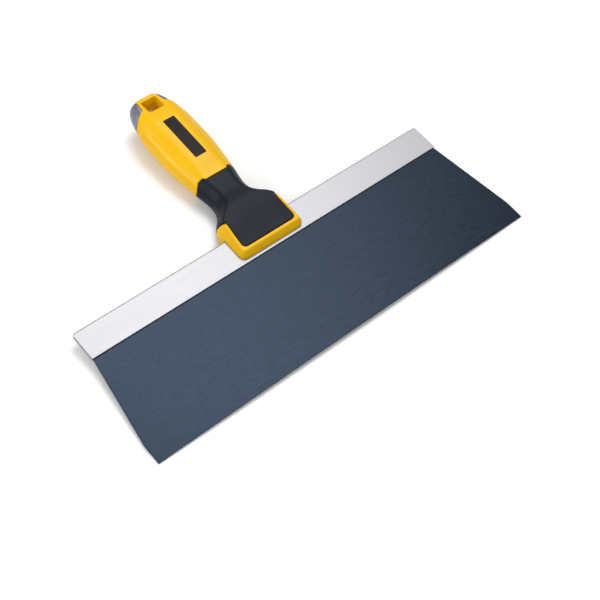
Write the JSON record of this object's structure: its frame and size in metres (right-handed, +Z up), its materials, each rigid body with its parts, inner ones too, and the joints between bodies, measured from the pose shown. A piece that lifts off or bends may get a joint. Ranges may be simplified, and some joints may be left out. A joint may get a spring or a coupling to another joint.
{
  "type": "drywall taping knife",
  "caption": "Wide drywall taping knife: thin flexible blued-steel blade in a folded aluminium back bar, with a moulded two-colour grip handle and a hang hole in its metal-capped butt.",
  "frame": {"origin": "middle of the bounding box's base: the knife lies on its back on a flat surface, resting on the two corners of its working edge and on the belly of its handle", "axes": "+X along the blade's working edge, +Y from the working edge towards the handle's butt, +Z up from the surface it lies on; the blade's plane is tilted about 5 degrees about X"},
  "size_m": [0.3048, 0.215, 0.0284],
  "materials": {
    "blued_steel": "heat-blued spring steel, finely brushed",
    "bar_aluminium": "satin anodised",
    "plain_steel": "zinc plated",
    "handle_plastic": "satin moulded polypropylene",
    "grip_rubber": "fine matt soft-touch",
    "cap_metal": "satin cast and tumbled",
    "badge_plastic": "fine matt"
  },
  "bodies": {
    "root": {"blade": "blued_steel", "back_bar": "bar_aluminium", "tang": "plain_steel", "tang_rivet_1": "plain_steel", "tang_rivet_2": "plain_steel", "tang_rivet_3": "plain_steel", "front_shell": "handle_plastic", "rear_shell": "handle_plastic", "front_grip": "grip_rubber", "rear_grip": "grip_rubber", "butt_cap": "cap_metal", "badge": "badge_plastic", "shell_screw_1": "plain_steel", "shell_screw_2": "plain_steel", "shell_screw_3": "plain_steel"}
  },
  "joints": []
}
